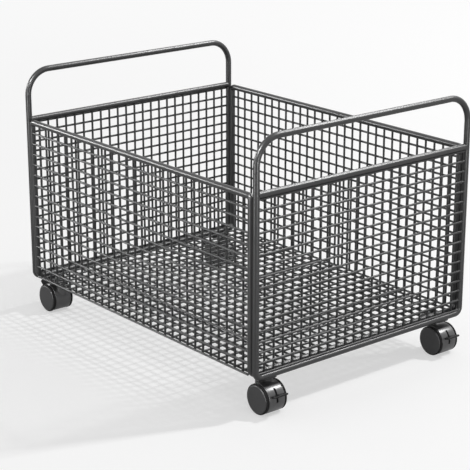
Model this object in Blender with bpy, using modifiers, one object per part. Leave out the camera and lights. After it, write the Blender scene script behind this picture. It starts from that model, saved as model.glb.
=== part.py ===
"""Wire mesh book trolley on four braked twin-wheel castors.

X runs along the trolley, with the front end at +X. Y runs across it and Z runs up from the floor.
All sizes are in metres.
"""

import math

import bmesh
import bpy

# Overall frame
END_SPACING = 0.590
LEG_SPACING = 0.433
FRAME_HEIGHT = 0.2785
HANDLE_HEIGHT = 0.3605
HANDLE_BEND_RADIUS = 0.041
LOWER_BEND_RADIUS = 0.010
TUBE_DIAMETER = 0.010

# Mesh tray that hangs between the end frames
TRAY_SIDE_OFFSET = 0.0007
TRAY_FLOOR_RISE = 0.003
RIM_DROP = 0.003
RIM_BEND_RADIUS = 0.006
SEAM_RISE = 0.004
WIRE_DIAMETER = 0.0034
SIDE_CELLS_ALONG = 30
SIDE_CELLS_UP = 15
FLOOR_CELLS_ACROSS = 24
END_CELLS_ACROSS = 24
END_CELLS_UP = 16
CELLS_PER_BAR = 2
FLOOR_CELLS_PER_BAR = 3

# Castors
WHEEL_DIAMETER = 0.048
CASTOR_WIDTH = 0.0416
CASTOR_TRAIL = 0.016
SWIVEL_FROM_END = 0.028
SWIVEL_FROM_LEG = 0.0325
NECK_ABOVE_WHEEL = 0.0069
NECK_DIAMETER = 0.015
NECK_DEPTH = 0.030
STEM_DIAMETER = 0.010
STEM_DEPTH = 0.012
AXLE_DIAMETER = 0.006
HOOD_WIDTH = 0.0324
HOOD_OVERHANG = 0.0002
HOOD_FLOOR_CLEARANCE = 0.005
HOOD_WALL = 0.0029
HOOD_WEB = 0.008
HOOD_CHAMFER = 0.0008
TYRE_CHAMFER = 0.0005
CAP_THICKNESS = 0.0016
CAP_INSET = 0.0020
CAP_CHAMFER = 0.0010
PLATE_THICKNESS = 0.004
PLATE_WIDTH = 0.026
PLATE_INBOARD = 0.016
PLATE_SETBACK = 0.002
NUT_ACROSS_FLATS = 0.016
NUT_HEIGHT = 0.005

# Brake lever, turning on the wheel axle
LEVER_THICKNESS = 0.0026
LEVER_ARM_HEIGHT = 0.0045
LEVER_EYE_DIAMETER = 0.012
LEVER_BLADE_WIDTH = 0.026
LEVER_BLADE_REACH = 0.0123
LEVER_BLADE_THICKNESS = 0.003
LEVER_UP_ANGLE = math.radians(40.0)
LEVER_DOWN_ANGLE = math.radians(4.0)
LEVER_PRESSED_ANGLE = math.radians(20.0)

# Fits between neighbouring pieces
SEAT_GAP = 0.0003
RUNNING_GAP = 0.0004
BORE_GAP = 0.0003

# Facets of round shapes
TUBE_FACETS_SETTING = 4
WHEEL_FACETS = 20
SMALL_FACETS = 12

# Heights that follow from the castors
WHEEL_RADIUS = WHEEL_DIAMETER / 2
TUBE_RADIUS = TUBE_DIAMETER / 2
NECK_TOP = WHEEL_DIAMETER + NECK_ABOVE_WHEEL
PLATE_BOTTOM = NECK_TOP + SEAT_GAP
PLATE_TOP = PLATE_BOTTOM + PLATE_THICKNESS
RAIL_HEIGHT = PLATE_TOP + SEAT_GAP + TUBE_RADIUS
CROSS_TUBE_HEIGHT = RAIL_HEIGHT + FRAME_HEIGHT
HANDLE_TOP_HEIGHT = RAIL_HEIGHT + HANDLE_HEIGHT
TRAY_FLOOR_HEIGHT = RAIL_HEIGHT + TRAY_FLOOR_RISE
TRAY_RIM_HEIGHT = CROSS_TUBE_HEIGHT - RIM_DROP

# Positions that follow from the frame
END_X = END_SPACING / 2
LEG_Y = LEG_SPACING / 2
TRAY_Y = LEG_Y + TRAY_SIDE_OFFSET
TRAY_X = END_X - TUBE_DIAMETER - SEAT_GAP
SEAM_HEIGHT = TRAY_FLOOR_HEIGHT + LOWER_BEND_RADIUS + SEAM_RISE
SWIVEL_X = END_X - SWIVEL_FROM_END
SWIVEL_Y = LEG_Y - SWIVEL_FROM_LEG
HOOD_RADIUS = WHEEL_RADIUS + HOOD_OVERHANG

ENDS = {"front": 1, "rear": -1}
SIDES = {"left": 1, "right": -1}
RELEASED_BRAKES = ("rear_right",)


def clear_scene():
    """Remove every object that the scene starts with."""
    for obj in list(bpy.data.objects):
        bpy.data.objects.remove(obj, do_unlink=True)


def new_collection(name):
    """Make a collection inside the scene."""
    collection = bpy.data.collections.new(name)
    bpy.context.scene.collection.children.link(collection)
    return collection


def new_material(name, colour, roughness, metallic):
    """Make a material with a linear base colour."""
    material = bpy.data.materials.new(name)
    material.use_nodes = True
    shader = material.node_tree.nodes["Principled BSDF"]
    shader.inputs["Base Color"].default_value = (*colour, 1.0)
    shader.inputs["Roughness"].default_value = roughness
    shader.inputs["Metallic"].default_value = metallic
    return material


def add_object(name, data, collection, material=None, parent=None):
    """Put mesh or curve data into the scene as a named object."""
    obj = bpy.data.objects.new(name, data)
    collection.objects.link(obj)
    obj.parent = parent
    if material is not None:
        obj.data.materials.clear()
        obj.data.materials.append(material)
    return obj


def add_empty(name, collection, location, turn=0.0):
    """Place an empty that carries the pieces of one castor."""
    empty = bpy.data.objects.new(name, None)
    empty.location = location
    empty.rotation_euler = (0.0, 0.0, turn)
    collection.objects.link(empty)
    return empty


def arc(centre, radius, start, end, steps):
    """Points on an arc in a plane, with both ends included."""
    angles = [start + (end - start) * step / steps for step in range(steps + 1)]
    return [(centre[0] + radius * math.cos(a), centre[1] + radius * math.sin(a)) for a in angles]


def tube_curve(name, points, closed):
    """A round tube along straight lines between points in space."""
    curve = bpy.data.curves.new(name, "CURVE")
    curve.dimensions = "3D"
    curve.bevel_depth = TUBE_RADIUS
    curve.bevel_resolution = TUBE_FACETS_SETTING
    curve.use_fill_caps = not closed
    spline = curve.splines.new("POLY")
    spline.points.add(len(points) - 1)
    for spline_point, point in zip(spline.points, points):
        spline_point.co = (*point, 1.0)
    spline.use_cyclic_u = closed
    return curve


def flat_curve(name, outlines, thickness):
    """A flat plate from closed outlines, where inner outlines are holes."""
    curve = bpy.data.curves.new(name, "CURVE")
    curve.dimensions = "2D"
    curve.fill_mode = "BOTH"
    curve.extrude = thickness / 2
    for outline in outlines:
        spline = curve.splines.new("POLY")
        spline.points.add(len(outline) - 1)
        for spline_point, (x, y) in zip(spline.points, outline):
            spline_point.co = (x, y, 0.0, 1.0)
        spline.use_cyclic_u = True
    return curve


def frame_path():
    """Closed centre line of an end frame in its own plane, as (across, up) points."""
    bottom_y = LEG_Y - LOWER_BEND_RADIUS
    bottom_z = RAIL_HEIGHT + LOWER_BEND_RADIUS
    top_y = LEG_Y - HANDLE_BEND_RADIUS
    top_z = HANDLE_TOP_HEIGHT - HANDLE_BEND_RADIUS
    quarter = math.pi / 2
    path = arc((bottom_y, bottom_z), LOWER_BEND_RADIUS, -quarter, 0.0, 4)
    path += arc((top_y, top_z), HANDLE_BEND_RADIUS, 0.0, quarter, 8)
    path += arc((-top_y, top_z), HANDLE_BEND_RADIUS, quarter, 2 * quarter, 8)
    path += arc((-bottom_y, bottom_z), LOWER_BEND_RADIUS, 2 * quarter, 3 * quarter, 4)
    return path


def build_end_frame(end, sign, collection, material):
    """One bent tube that forms the two legs, the handle and the bottom rail of an end."""
    points = [(0.0, y, z) for y, z in frame_path()]
    name = f"{end}_end_frame"
    frame = add_object(name, tube_curve(name, points, True), collection, material)
    frame.location.x = sign * END_X


def build_cross_tube(end, sign, collection, material):
    """The straight tube between the legs at the top of the end mesh."""
    reach = LEG_Y - TUBE_RADIUS - SEAT_GAP
    name = f"{end}_cross_tube"
    curve = tube_curve(name, [(0.0, -reach, 0.0), (0.0, reach, 0.0)], False)
    tube = add_object(name, curve, collection, material)
    tube.location = (sign * END_X, 0.0, CROSS_TUBE_HEIGHT)


def build_tray_side_rod(side, sign, collection, material):
    """The rod along one tray rim, bent down beside the legs at both ends."""
    low = SEAM_HEIGHT + SEAT_GAP / 2
    bend_x = TRAY_X - RIM_BEND_RADIUS
    bend_z = TRAY_RIM_HEIGHT - RIM_BEND_RADIUS
    path = [(TRAY_X, low)]
    path += arc((bend_x, bend_z), RIM_BEND_RADIUS, 0.0, math.pi / 2, 4)
    path += arc((-bend_x, bend_z), RIM_BEND_RADIUS, math.pi / 2, math.pi, 4)
    path.append((-TRAY_X, low))
    name = f"tray_{side}_rod"
    curve = tube_curve(name, [(x, 0.0, z) for x, z in path], False)
    rod = add_object(name, curve, collection, material)
    rod.location.y = sign * TRAY_Y


def build_tray_end_rod(end, sign, collection, material):
    """The rod across one end of the tray floor, bent up to meet the side rods."""
    high = SEAM_HEIGHT - SEAT_GAP / 2
    bend_y = TRAY_Y - LOWER_BEND_RADIUS
    bend_z = TRAY_FLOOR_HEIGHT + LOWER_BEND_RADIUS
    path = [(-TRAY_Y, high)]
    path += arc((-bend_y, bend_z), LOWER_BEND_RADIUS, math.pi, 1.5 * math.pi, 4)
    path += arc((bend_y, bend_z), LOWER_BEND_RADIUS, 1.5 * math.pi, 2 * math.pi, 4)
    path.append((TRAY_Y, high))
    name = f"tray_{end}_rod"
    curve = tube_curve(name, [(0.0, y, z) for y, z in path], False)
    rod = add_object(name, curve, collection, material)
    rod.location.x = sign * TRAY_X


def wire_places(first, last, cells, start, stop, step=CELLS_PER_BAR):
    """Centre lines of the wires that are drawn, numbered by the cells between two limits."""
    pitch = (last - first) / cells
    return [first + pitch * place for place in range(start, stop + 1, step)]


def mesh_outline(columns, rows, low, high, reaches):
    """Outer edge of a mesh, with the wire ends standing out past the last crossing wires."""
    half = WIRE_DIAMETER / 2
    bottom, top = rows[0] - half, rows[-1] + half
    left, right = columns[0] - half, columns[-1] + half
    points = []
    if low < bottom:
        for x in columns:
            points += [(x - half, bottom), (x - half, low), (x + half, low), (x + half, bottom)]
    for y, reach in zip(rows, reaches):
        points += [(right, y - half), (reach, y - half), (reach, y + half), (right, y + half)]
    if high > top:
        for x in reversed(columns):
            points += [(x + half, top), (x + half, high), (x - half, high), (x - half, top)]
    for y, reach in zip(reversed(rows), reversed(reaches)):
        points += [(left, y + half), (-reach, y + half), (-reach, y - half), (left, y - half)]
    return [point for place, point in enumerate(points) if point != points[place - 1]]


def mesh_holes(columns, rows):
    """The rectangular gaps between neighbouring wires."""
    half = WIRE_DIAMETER / 2
    holes = []
    for left, right in zip(columns, columns[1:]):
        for bottom, top in zip(rows, rows[1:]):
            x0, x1 = left + half, right - half
            y0, y1 = bottom + half, top - half
            holes.append([(x0, y0), (x0, y1), (x1, y1), (x1, y0)])
    return holes


def mesh_curve(name, columns, rows, low, high, reaches):
    """A flat welded wire mesh as one plate with a hole in each cell."""
    outlines = [mesh_outline(columns, rows, low, high, reaches)]
    outlines += mesh_holes(columns, rows)
    return flat_curve(name, outlines, WIRE_DIAMETER)


def build_end_mesh(end, sign, collection, material):
    """The mesh between the legs, the cross tube and the bottom rail of one end."""
    edge = TUBE_RADIUS + SEAT_GAP + WIRE_DIAMETER / 2
    last = END_CELLS_ACROSS - CELLS_PER_BAR
    columns = wire_places(-LEG_Y, LEG_Y, END_CELLS_ACROSS, CELLS_PER_BAR, last)
    rows = wire_places(RAIL_HEIGHT + edge, CROSS_TUBE_HEIGHT - edge, END_CELLS_UP, 0, END_CELLS_UP)
    reaches = [LEG_Y - TUBE_RADIUS - SEAT_GAP for _ in rows]
    reaches[0] = LEG_Y - LOWER_BEND_RADIUS
    name = f"{end}_end_mesh"
    low, high = rows[0], rows[-1]
    curve = mesh_curve(name, columns, rows, low, high, reaches)
    mesh = add_object(name, curve, collection, material)
    mesh.location.x = sign * END_X
    mesh.rotation_euler = (math.pi / 2, 0.0, math.pi / 2)


def tray_columns():
    """Places along the trolley of the wires that run across the tray."""
    last = SIDE_CELLS_ALONG - CELLS_PER_BAR
    return wire_places(-TRAY_X, TRAY_X, SIDE_CELLS_ALONG, CELLS_PER_BAR, last)


def build_side_mesh(side, sign, collection, material):
    """One upright side of the tray mesh, from the floor edge to the rim rod."""
    columns = tray_columns()
    rows = wire_places(TRAY_FLOOR_HEIGHT, TRAY_RIM_HEIGHT, SIDE_CELLS_UP, 0, SIDE_CELLS_UP - 1)
    reaches = [TRAY_X - TUBE_RADIUS - SEAT_GAP for _ in rows]
    high = TRAY_RIM_HEIGHT - TUBE_RADIUS - SEAT_GAP
    name = f"tray_{side}_mesh"
    mesh = add_object(
        name, mesh_curve(name, columns, rows, rows[0], high, reaches), collection, material
    )
    mesh.location.y = sign * TRAY_Y
    mesh.rotation_euler = (math.pi / 2, 0.0, 0.0)


def build_floor_mesh(collection, material):
    """The floor of the tray mesh."""
    columns = tray_columns()
    step = FLOOR_CELLS_PER_BAR
    rows = wire_places(-TRAY_Y, TRAY_Y, FLOOR_CELLS_ACROSS, step, FLOOR_CELLS_ACROSS - step, step)
    reaches = [TRAY_X - TUBE_RADIUS - SEAT_GAP for _ in rows]
    edge = TRAY_Y - WIRE_DIAMETER / 2 - SEAT_GAP
    curve = mesh_curve("tray_floor_mesh", columns, rows, -edge, edge, reaches)
    mesh = add_object("tray_floor_mesh", curve, collection, material)
    mesh.location.z = TRAY_FLOOR_HEIGHT


def round_bar(name, radius, low, high, facets):
    """A solid cylinder along Z between two heights."""
    mesh = bpy.data.meshes.new(name)
    shape = bmesh.new()
    bmesh.ops.create_cone(
        shape, cap_ends=True, segments=facets, radius1=radius, radius2=radius, depth=high - low
    )
    bmesh.ops.translate(shape, verts=shape.verts, vec=(0.0, 0.0, (low + high) / 2))
    shape.to_mesh(mesh)
    shape.free()
    return mesh


def block(name, low, high):
    """A box between two opposite corners."""
    mesh = bpy.data.meshes.new(name)
    shape = bmesh.new()
    bmesh.ops.create_cube(shape, size=1.0)
    bmesh.ops.scale(shape, verts=shape.verts, vec=[b - a for a, b in zip(low, high)])
    bmesh.ops.translate(shape, verts=shape.verts, vec=[(a + b) / 2 for a, b in zip(low, high)])
    shape.to_mesh(mesh)
    shape.free()
    return mesh


def turned_object(name, profile, helpers):
    """A shape turned about Z from (radius, height) points that run from top to bottom."""
    mesh = bpy.data.meshes.new(name)
    edges = [(place, place + 1) for place in range(len(profile) - 1)]
    mesh.from_pydata([(radius, 0.0, height) for radius, height in profile], edges, [])
    turned = add_object(name, mesh, helpers)
    screw = turned.modifiers.new("Turn", "SCREW")
    screw.axis = "Z"
    screw.angle = math.tau
    screw.steps = WHEEL_FACETS
    screw.render_steps = WHEEL_FACETS
    screw.use_merge_vertices = True
    screw.merge_threshold = 0.00001
    return turned


def add_boolean(obj, other, operation):
    """Cut a helper out of an object, or join it on."""
    modifier = obj.modifiers.new(operation.title(), "BOOLEAN")
    modifier.operation = operation
    modifier.solver = "EXACT"
    modifier.object = other


def finished_mesh(obj):
    """The mesh of an object where it stands, with modifiers applied and doubled points merged."""
    evaluated = obj.evaluated_get(bpy.context.evaluated_depsgraph_get())
    mesh = bpy.data.meshes.new_from_object(evaluated)
    mesh.transform(evaluated.matrix_world)
    shape = bmesh.new()
    shape.from_mesh(mesh)
    bmesh.ops.remove_doubles(shape, verts=shape.verts, dist=0.000001)
    shape.to_mesh(mesh)
    shape.free()
    return mesh


def hood_mesh(helpers):
    """The castor body: a barrel between the wheels with a neck round the swivel stem.

    The swivel axis is at the origin and the wheel axle lies CASTOR_TRAIL along X.
    """
    half = HOOD_WIDTH / 2
    inner = HOOD_RADIUS - HOOD_CHAMFER
    profile = [
        (0.0, half),
        (inner, half),
        (HOOD_RADIUS, half - HOOD_CHAMFER),
        (HOOD_RADIUS, HOOD_CHAMFER - half),
        (inner, -half),
        (0.0, -half),
    ]
    hood = turned_object("hood_form", profile, helpers)
    hood.location = (CASTOR_TRAIL, 0.0, WHEEL_RADIUS)
    hood.rotation_euler.x = math.pi / 2

    neck_low = NECK_TOP - NECK_DEPTH
    neck = add_object(
        "neck_form", round_bar("neck_form", NECK_DIAMETER / 2, neck_low, NECK_TOP, SMALL_FACETS), helpers
    )
    add_boolean(hood, neck, "UNION")

    for sign in (1, -1):
        near, far = HOOD_WEB / 2, HOOD_WIDTH
        low, high = (near, far) if sign > 0 else (-far, -near)
        well = round_bar("wheel_well", HOOD_RADIUS - HOOD_WALL, low, high, WHEEL_FACETS)
        cutter = add_object("wheel_well", well, helpers)
        cutter.location = hood.location
        cutter.rotation_euler.x = math.pi / 2
        add_boolean(hood, cutter, "DIFFERENCE")

    reach = CASTOR_TRAIL + WHEEL_DIAMETER
    floor_cut = block(
        "floor_cut", (-reach, -HOOD_WIDTH, -WHEEL_RADIUS), (reach, HOOD_WIDTH, HOOD_FLOOR_CLEARANCE)
    )
    add_boolean(hood, add_object("floor_cut", floor_cut, helpers), "DIFFERENCE")

    stem_low = NECK_TOP - STEM_DEPTH - BORE_GAP
    stem_bore = round_bar(
        "stem_bore", STEM_DIAMETER / 2 + BORE_GAP, stem_low, NECK_TOP + STEM_DEPTH, SMALL_FACETS
    )
    add_boolean(hood, add_object("stem_bore", stem_bore, helpers), "DIFFERENCE")

    axle_bore = round_bar(
        "axle_bore", AXLE_DIAMETER / 2 + BORE_GAP, -HOOD_WIDTH, HOOD_WIDTH, SMALL_FACETS
    )
    bore = add_object("axle_bore", axle_bore, helpers)
    bore.location = hood.location
    bore.rotation_euler.x = math.pi / 2
    add_boolean(hood, bore, "DIFFERENCE")

    pocket = add_object("lever_pocket", finished_mesh(lever_pocket(helpers)), helpers)
    pocket.location = hood.location
    pocket.rotation_euler.x = math.pi / 2
    add_boolean(hood, pocket, "DIFFERENCE")
    return finished_mesh(hood)


def lever_pocket(helpers):
    """The slot in the hood that the lever arm sweeps, as a flat sector round the axle."""
    eye = LEVER_EYE_DIAMETER / 2 + RUNNING_GAP
    reach = HOOD_RADIUS + LEVER_BLADE_REACH
    spare = math.asin((LEVER_ARM_HEIGHT / 2 + RUNNING_GAP) / HOOD_RADIUS) + math.radians(2.0)
    low, high = LEVER_DOWN_ANGLE - spare, LEVER_UP_ANGLE + spare
    outline = arc((0.0, 0.0), reach, low, high, 6)
    outline += arc((0.0, 0.0), eye, high + math.radians(30.0), low + math.radians(330.0), 8)
    curve = flat_curve("lever_pocket_outline", [outline], LEVER_THICKNESS + 2 * RUNNING_GAP)
    return add_object("lever_pocket_outline", curve, helpers)


def lever_mesh(helpers):
    """The brake lever: an eye on the axle, an arm out through the slot and a wide blade."""
    half = LEVER_THICKNESS / 2
    blade_start = HOOD_RADIUS + 2 * RUNNING_GAP
    blade_end = blade_start + LEVER_BLADE_REACH
    arm_half = LEVER_ARM_HEIGHT / 2
    blade_half = LEVER_BLADE_THICKNESS / 2

    eye = add_object(
        "lever_form", round_bar("lever_form", LEVER_EYE_DIAMETER / 2, -half, half, SMALL_FACETS), helpers
    )
    eye.rotation_euler.x = math.pi / 2
    arm = block("arm_form", (0.0, -half, -arm_half), (blade_start + blade_half, half, arm_half))
    add_boolean(eye, add_object("arm_form", arm, helpers), "UNION")
    blade = add_object(
        "blade_form",
        block(
            "blade_form",
            (blade_start, -LEVER_BLADE_WIDTH / 2, -blade_half),
            (blade_end, LEVER_BLADE_WIDTH / 2, blade_half),
        ),
        helpers,
    )
    add_boolean(eye, blade, "UNION")
    bore = add_object(
        "eye_bore",
        round_bar("eye_bore", AXLE_DIAMETER / 2 + BORE_GAP, -HOOD_WEB, HOOD_WEB, SMALL_FACETS),
        helpers,
    )
    bore.rotation_euler.x = math.pi / 2
    add_boolean(eye, bore, "DIFFERENCE")
    return finished_mesh(eye)


def wheel_mesh(helpers):
    """A wheel about Z: a tyre disc outside the hood and a hub drum inside it, with a blind axle bore.

    The tread facets touch the true tread circle, so that the wheel rests on a flat.
    """
    tread = WHEEL_RADIUS / math.cos(math.pi / WHEEL_FACETS)
    outer = CASTOR_WIDTH / 2 - CAP_THICKNESS - SEAT_GAP
    shoulder = HOOD_WIDTH / 2 + RUNNING_GAP
    inner = HOOD_WEB / 2 + RUNNING_GAP
    drum = HOOD_RADIUS - HOOD_WALL - 2 * RUNNING_GAP
    bore = AXLE_DIAMETER / 2 + BORE_GAP
    bore_end = shoulder + BORE_GAP
    profile = [
        (0.0, outer),
        (tread - TYRE_CHAMFER, outer),
        (tread, outer - TYRE_CHAMFER),
        (tread, shoulder),
        (drum, shoulder),
        (drum, inner),
        (bore, inner),
        (bore, bore_end),
        (0.0, bore_end),
    ]
    return finished_mesh(turned_object("wheel_form", profile, helpers))


def cap_mesh(helpers):
    """The plain cover disc on the outside of a wheel, about Z."""
    radius = WHEEL_RADIUS - CAP_INSET
    top = CASTOR_WIDTH / 2
    bottom = top - CAP_THICKNESS
    profile = [
        (0.0, top),
        (radius - CAP_CHAMFER, top),
        (radius, top - CAP_CHAMFER),
        (radius, bottom),
        (0.0, bottom),
    ]
    return finished_mesh(turned_object("cap_form", profile, helpers))


def plate_mesh(helpers):
    """The plate under the bottom rail that a castor stem passes through, with the swivel axis at Z."""
    outboard = SWIVEL_FROM_END - PLATE_SETBACK
    corner_low = (-PLATE_INBOARD, -PLATE_WIDTH / 2, PLATE_BOTTOM)
    corner_high = (outboard, PLATE_WIDTH / 2, PLATE_TOP)
    plate = add_object("plate_form", block("plate_form", corner_low, corner_high), helpers)
    hole = round_bar(
        "plate_hole",
        STEM_DIAMETER / 2 + BORE_GAP,
        PLATE_BOTTOM - PLATE_THICKNESS,
        PLATE_TOP + PLATE_THICKNESS,
        SMALL_FACETS,
    )
    add_boolean(plate, add_object("plate_hole", hole, helpers), "DIFFERENCE")
    return finished_mesh(plate)


def nut_mesh(helpers):
    """The hexagon nut that holds a castor stem on its plate."""
    low = PLATE_TOP + SEAT_GAP
    corner_radius = NUT_ACROSS_FLATS / math.sqrt(3.0)
    nut = add_object("nut_form", round_bar("nut_form", corner_radius, low, low + NUT_HEIGHT, 6), helpers)
    hole = round_bar(
        "nut_hole", STEM_DIAMETER / 2 + BORE_GAP, low - NUT_HEIGHT, low + 2 * NUT_HEIGHT, SMALL_FACETS
    )
    add_boolean(nut, add_object("nut_hole", hole, helpers), "DIFFERENCE")
    return finished_mesh(nut)


def stem_mesh():
    """The stem from inside the hood neck up through the plate and the nut."""
    low = NECK_TOP - STEM_DEPTH
    high = PLATE_TOP + SEAT_GAP + NUT_HEIGHT
    return round_bar("castor_stem", STEM_DIAMETER / 2, low, high, SMALL_FACETS)


def axle_mesh():
    """The axle that carries both wheels of a castor, about Z."""
    reach = HOOD_WIDTH / 2 + RUNNING_GAP
    return round_bar("castor_axle", AXLE_DIAMETER / 2, -reach, reach, SMALL_FACETS)


def castor_shapes(helpers):
    """One mesh for each kind of castor piece."""
    return {
        "hood": hood_mesh(helpers),
        "lever": lever_mesh(helpers),
        "wheel": wheel_mesh(helpers),
        "cap": cap_mesh(helpers),
        "plate": plate_mesh(helpers),
        "nut": nut_mesh(helpers),
        "stem": stem_mesh(),
        "axle": axle_mesh(),
    }


def build_castor(end, side, shapes, collection, materials):
    """One castor at a corner, with its trail and its brake lever pointing out past the end."""
    along, across = ENDS[end], SIDES[side]
    turn = 0.0 if along > 0 else math.pi
    corner = f"{end}_{side}"
    place = (along * SWIVEL_X, across * SWIVEL_Y, 0.0)
    swivel = add_empty(f"{corner}_swivel", collection, place, turn)

    def add_piece(piece, shape, material):
        mesh = shapes[shape].copy()
        return add_object(f"{corner}_{piece}", mesh, collection, materials[material], swivel)

    add_piece("castor_plate", "plate", "steel")
    add_piece("castor_nut", "nut", "zinc")
    add_piece("castor_stem", "stem", "zinc")
    add_piece("castor_hood", "hood", "plastic")

    hub = (CASTOR_TRAIL, 0.0, WHEEL_RADIUS)
    axle = add_piece("castor_axle", "axle", "zinc")
    axle.location = hub
    axle.rotation_euler.x = math.pi / 2

    flat_down = math.pi / 2 + math.pi / WHEEL_FACETS
    for wheel_side, sign in SIDES.items():
        facing = sign if along > 0 else -sign
        for piece, shape, material in (("wheel", "wheel", "tyre"), ("wheel_cap", "cap", "plastic")):
            part = add_piece(f"{wheel_side}_{piece}", shape, material)
            part.location = hub
            part.rotation_euler.x = -facing * math.pi / 2
            part.rotation_euler.y = flat_down

    lever = add_piece("brake_lever", "lever", "plastic")
    lever.location = hub
    lever.rotation_euler.y = -(LEVER_UP_ANGLE if corner in RELEASED_BRAKES else LEVER_PRESSED_ANGLE)


def main():
    clear_scene()
    trolley = new_collection("book_trolley")
    helpers = new_collection("helper_forms")
    materials = {
        "steel": new_material("coated_steel", (0.066, 0.067, 0.070), 0.42, 0.25),
        "plastic": new_material("castor_plastic", (0.074, 0.074, 0.076), 0.40, 0.0),
        "tyre": new_material("tyre_rubber", (0.012, 0.012, 0.013), 0.60, 0.0),
        "zinc": new_material("zinc_steel", (0.45, 0.46, 0.47), 0.35, 1.0),
    }

    for end, sign in ENDS.items():
        build_end_frame(end, sign, trolley, materials["steel"])
        build_cross_tube(end, sign, trolley, materials["steel"])
        build_end_mesh(end, sign, trolley, materials["steel"])
        build_tray_end_rod(end, sign, trolley, materials["steel"])
    for side, sign in SIDES.items():
        build_tray_side_rod(side, sign, trolley, materials["steel"])
        build_side_mesh(side, sign, trolley, materials["steel"])
    build_floor_mesh(trolley, materials["steel"])

    shapes = castor_shapes(helpers)
    for end in ENDS:
        for side in SIDES:
            build_castor(end, side, shapes, trolley, materials)

    for helper in helpers.objects:
        helper.hide_render = True
        helper.display_type = "WIRE"


main()
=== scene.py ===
"""Looks of a wire mesh book trolley: round wires, smooth bent tubes, moulded castors and their finishes."""

from __future__ import annotations

import logging
import math
from dataclasses import dataclass, field, replace
from enum import Enum
from typing import Mapping, Sequence

import bmesh
import bpy
import numpy as np
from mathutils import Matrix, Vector
from numpy.typing import ArrayLike, NDArray


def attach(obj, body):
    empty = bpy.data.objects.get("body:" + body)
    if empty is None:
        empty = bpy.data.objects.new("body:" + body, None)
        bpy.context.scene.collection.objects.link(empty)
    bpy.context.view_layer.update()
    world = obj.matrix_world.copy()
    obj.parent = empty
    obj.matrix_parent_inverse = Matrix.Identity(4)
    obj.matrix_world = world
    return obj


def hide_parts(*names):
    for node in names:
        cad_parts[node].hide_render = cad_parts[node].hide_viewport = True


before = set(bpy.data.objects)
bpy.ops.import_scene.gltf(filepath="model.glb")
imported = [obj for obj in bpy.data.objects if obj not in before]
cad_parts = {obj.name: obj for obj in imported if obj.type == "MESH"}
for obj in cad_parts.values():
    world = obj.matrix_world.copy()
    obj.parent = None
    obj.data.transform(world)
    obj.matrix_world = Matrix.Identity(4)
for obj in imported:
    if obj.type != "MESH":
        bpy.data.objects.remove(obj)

Array = NDArray[np.float64]
Colour = tuple[float, float, float]
LOG = logging.getLogger("trolley")

ALONG: Array = np.array([1.0, 0.0, 0.0])
ACROSS: Array = np.array([0.0, 1.0, 0.0])
UP: Array = np.array([0.0, 0.0, 1.0])

# The least distance in metres, or the least slope, that counts.
TINY = 1e-6
# Edges that bend more than this stay sharp.
SHARP_EDGE = math.radians(38.0)
# Parts of a quarter circle that rounds a corner, and of one that rounds a plate's edge.
CORNER_STEPS = 6
EDGE_STEPS = 4
# The height that the lamps point at.
AIM_HEIGHT = 0.2


class Direction(Enum):
    """A named direction along one axis of the trolley."""

    @property
    def word(self) -> str:
        """The direction's name as the model's pieces use it."""
        return self.name.lower()


class End(Direction):
    """An end of the trolley and its direction along X."""

    FRONT = 1
    REAR = -1


class Side(Direction):
    """A side of the trolley and its direction along Y."""

    LEFT = 1
    RIGHT = -1


class Brake(Enum):
    """A brake lever's position at rest, in degrees above level."""

    PRESSED = 20.0
    RAISED = 40.0


class Socket:
    """An output socket of a node graph that takes part in Python expressions."""

    def __init__(self, graph: NodeGraph, output: bpy.types.NodeSocket | None) -> None:
        """Keep the graph and the socket."""
        self.graph = graph
        self.output = output

    def _math(self, operation: str, first: Socket | float, second: Socket | float) -> Socket:
        """Add a Math node for two values.

        Args:
            operation: the Math node's operation.
            first: its first value.
            second: its second value.

        Returns:
            The node's result.
        """
        return self.graph.node("ShaderNodeMath", {"operation": operation}, {0: first, 1: second})

    def __add__(self, other: Socket | float) -> Socket:
        """Sum."""
        return self._math("ADD", self, other)

    __radd__ = __add__

    def __sub__(self, other: Socket | float) -> Socket:
        """Difference."""
        return self._math("SUBTRACT", self, other)

    def __rsub__(self, other: Socket | float) -> Socket:
        """Difference from a number."""
        return self._math("SUBTRACT", other, self)

    def __mul__(self, other: Socket | float) -> Socket:
        """Product."""
        return self._math("MULTIPLY", self, other)

    __rmul__ = __mul__

    def __or__(self, other: Socket | float) -> Socket:
        """The larger of two masks."""
        return self._math("MAXIMUM", self, other)


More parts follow.
